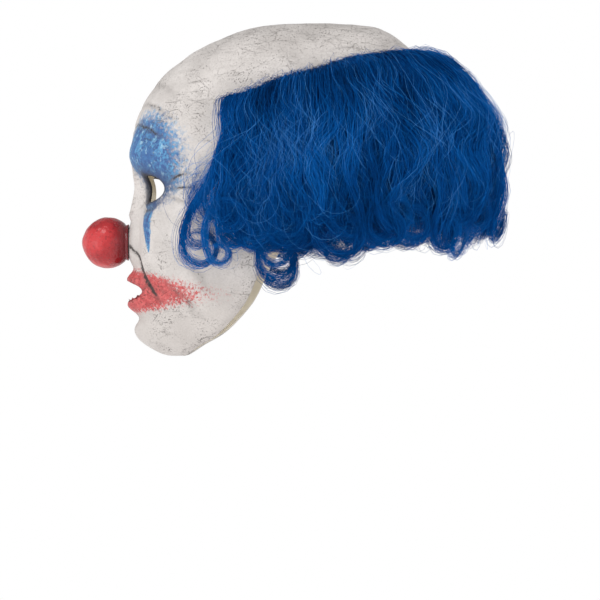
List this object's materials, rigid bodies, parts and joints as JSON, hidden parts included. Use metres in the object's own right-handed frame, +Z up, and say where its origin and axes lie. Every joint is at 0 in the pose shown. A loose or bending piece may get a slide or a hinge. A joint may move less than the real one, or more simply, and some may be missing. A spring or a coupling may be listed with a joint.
{
  "type": "latex halloween mask",
  "caption": "Over-the-head latex clown mask with a ball nose, open eyes and mouth, and a band of curled hair round the sides and back that lifts away from the head.",
  "frame": {"origin": "centre of the head cavity at eye level, which is where the wearer's head is", "axes": "the face looks along -Y, +X is the wearer's left and +Z is up"},
  "size_m": [0.236, 0.3296, 0.2582],
  "materials": {
    "painted_latex": "satin, distressed white paint over latex",
    "red_latex": "semi-gloss",
    "foam": "open-cell foam",
    "woven_band": "woven",
    "hair": "synthetic fibre"
  },
  "bodies": {
    "mask": {"latex_shell": "painted_latex", "nose_bulb": "red_latex", "nose_foam_plug": "foam", "weft_band": "woven_band"},
    "hair_left_front": {"tress_left_front_1": "hair", "tress_left_front_2": "hair", "tress_left_front_3": "hair", "tress_left_front_4": "hair", "under_hair_left_front_1": "hair", "under_hair_left_front_2": "hair"},
    "hair_left_rear": {"tress_left_rear_1": "hair", "tress_left_rear_2": "hair", "tress_left_rear_3": "hair", "tress_left_rear_4": "hair", "under_hair_left_rear_1": "hair", "under_hair_left_rear_2": "hair"},
    "hair_back": {"tress_back_1": "hair", "tress_back_2": "hair", "tress_back_3": "hair", "tress_back_4": "hair", "under_hair_back_1": "hair", "under_hair_back_2": "hair"},
    "hair_right_rear": {"tress_right_rear_1": "hair", "tress_right_rear_2": "hair", "tress_right_rear_3": "hair", "tress_right_rear_4": "hair", "under_hair_right_rear_1": "hair", "under_hair_right_rear_2": "hair"},
    "hair_right_front": {"tress_right_front_1": "hair", "tress_right_front_2": "hair", "tress_right_front_3": "hair", "tress_right_front_4": "hair", "under_hair_right_front_1": "hair", "under_hair_right_front_2": "hair"}
  },
  "joints": [
    {"name": "lift_left_front", "type": "hinge", "parent": "mask", "child": "hair_left_front", "pos_m": [0.08331, -0.00816, 0.06741], "axis": [-0.0314, -0.9574, -0.287], "range_deg": [0, 60]},
    {"name": "lift_left_rear", "type": "hinge", "parent": "mask", "child": "hair_left_rear", "pos_m": [0.07136, 0.05999, 0.0865], "axis": [0.4146, -0.8883, -0.1976], "range_deg": [0, 60]},
    {"name": "lift_back", "type": "hinge", "parent": "mask", "child": "hair_back", "pos_m": [0, 0.11408, 0.0952], "axis": [1, 0, 0], "range_deg": [0, 60]},
    {"name": "lift_right_rear", "type": "hinge", "parent": "mask", "child": "hair_right_rear", "pos_m": [-0.07136, 0.05999, 0.0865], "axis": [0.4146, 0.8883, 0.1976], "range_deg": [0, 60]},
    {"name": "lift_right_front", "type": "hinge", "parent": "mask", "child": "hair_right_front", "pos_m": [-0.08331, -0.00816, 0.06741], "axis": [-0.0314, 0.9574, 0.287], "range_deg": [0, 60]}
  ]
}
